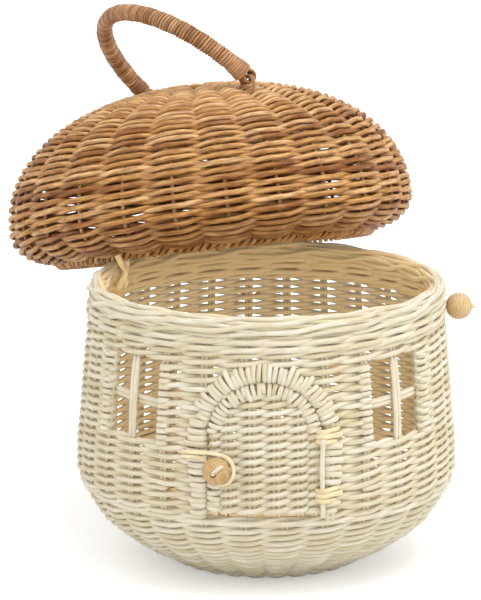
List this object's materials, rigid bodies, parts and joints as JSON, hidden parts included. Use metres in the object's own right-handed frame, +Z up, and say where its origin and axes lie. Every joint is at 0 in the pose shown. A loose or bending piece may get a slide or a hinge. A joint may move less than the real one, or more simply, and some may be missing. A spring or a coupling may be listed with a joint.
{
  "type": "lidded rattan storage basket",
  "caption": "Round woven rattan basket like a toadstool cottage, with a domed lid tied on at the rim, a swing handle, a small arched door and windows with crossed bars.",
  "frame": {"origin": "middle of the flat underside of the pot", "axes": "+Z up, -Y out through the door, +X towards the bead that the lid's loop goes over"},
  "size_m": [0.3455, 0.4578, 0.3846],
  "materials": {
    "base_disc": "bare peeled cane, satin",
    "lower_wall": "bare peeled cane, satin",
    "foot_wale": "bare peeled cane, satin",
    "side_wall": "bare peeled cane, satin",
    "upper_wale": "bare peeled cane, satin",
    "rim_border": "bare peeled cane, satin",
    "door_frame_binding": "bare peeled cane, satin",
    "left_window_frame": "bare peeled cane, satin",
    "left_window_mullion": "bare peeled cane, satin",
    "left_window_transom": "bare peeled cane, satin",
    "right_window_frame": "bare peeled cane, satin",
    "right_window_mullion": "bare peeled cane, satin",
    "right_window_transom": "bare peeled cane, satin",
    "door_hinge_tie_lower": "bare peeled cane, satin",
    "door_hinge_tie_upper": "bare peeled cane, satin",
    "lid_bead": "turned, oiled wood",
    "lid_bead_peg": "bare peeled cane, satin",
    "door_loop": "bare peeled cane, satin",
    "pot_tie_loop": "bare peeled cane, satin",
    "door_panel": "bare peeled cane, satin",
    "door_binding": "bare peeled cane, satin",
    "door_hinge_cane": "bare peeled cane, satin",
    "door_bead": "turned, oiled wood",
    "door_bead_peg": "bare peeled cane, satin",
    "lid_dome": "honey-brown varnished cane",
    "lid_underside": "honey-brown varnished cane",
    "lid_border": "honey-brown varnished cane",
    "lid_loop": "honey-brown varnished cane",
    "lid_tie_loop": "bare peeled cane, satin",
    "handle_anchor_back": "honey-brown varnished cane",
    "handle_anchor_front": "honey-brown varnished cane",
    "handle_end_back": "honey-brown varnished cane",
    "handle_end_front": "honey-brown varnished cane",
    "handle_core": "honey-brown varnished cane",
    "handle_wrap": "honey-brown varnished cane"
  },
  "bodies": {
    "pot": {"base_disc": "base_disc", "lower_wall": "lower_wall", "foot_wale": "foot_wale", "side_wall": "side_wall", "upper_wale": "upper_wale", "rim_border": "rim_border", "door_frame_binding": "door_frame_binding", "left_window_frame": "left_window_frame", "left_window_mullion": "left_window_mullion", "left_window_transom": "left_window_transom", "right_window_frame": "right_window_frame", "right_window_mullion": "right_window_mullion", "right_window_transom": "right_window_transom", "door_hinge_tie_lower": "door_hinge_tie_lower", "door_hinge_tie_upper": "door_hinge_tie_upper", "lid_bead": "lid_bead", "lid_bead_peg": "lid_bead_peg", "door_loop": "door_loop", "pot_tie_loop": "pot_tie_loop"},
    "door": {"door_panel": "door_panel", "door_binding": "door_binding", "door_hinge_cane": "door_hinge_cane", "door_bead": "door_bead", "door_bead_peg": "door_bead_peg"},
    "lid": {"lid_dome": "lid_dome", "lid_underside": "lid_underside", "lid_border": "lid_border", "lid_loop": "lid_loop", "lid_tie_loop": "lid_tie_loop", "handle_anchor_back": "handle_anchor_back", "handle_anchor_front": "handle_anchor_front"},
    "handle": {"handle_end_back": "handle_end_back", "handle_end_front": "handle_end_front", "handle_core": "handle_core", "handle_wrap": "handle_wrap"}
  },
  "joints": [
    {"name": "lid_swing", "type": "hinge", "parent": "pot", "child": "lid", "pos_m": [-0.10619, 0.05065, 0.2109], "axis": [-0.1906, 0.0494, 0.9804], "range_deg": [-82.3, 0]},
    {"name": "door_swing", "type": "hinge", "parent": "pot", "child": "door", "pos_m": [0.03981, -0.13672, 0.10175], "axis": [0, 0, 1], "range_deg": [0, 110], "deforming": ["door_loop"]},
    {"name": "handle_swing", "type": "hinge", "parent": "lid", "child": "handle", "pos_m": [-0.05307, 0.17485, 0.31647], "axis": [0.503, -0.8255, 0.2559], "range_deg": [-130, 40]}
  ]
}
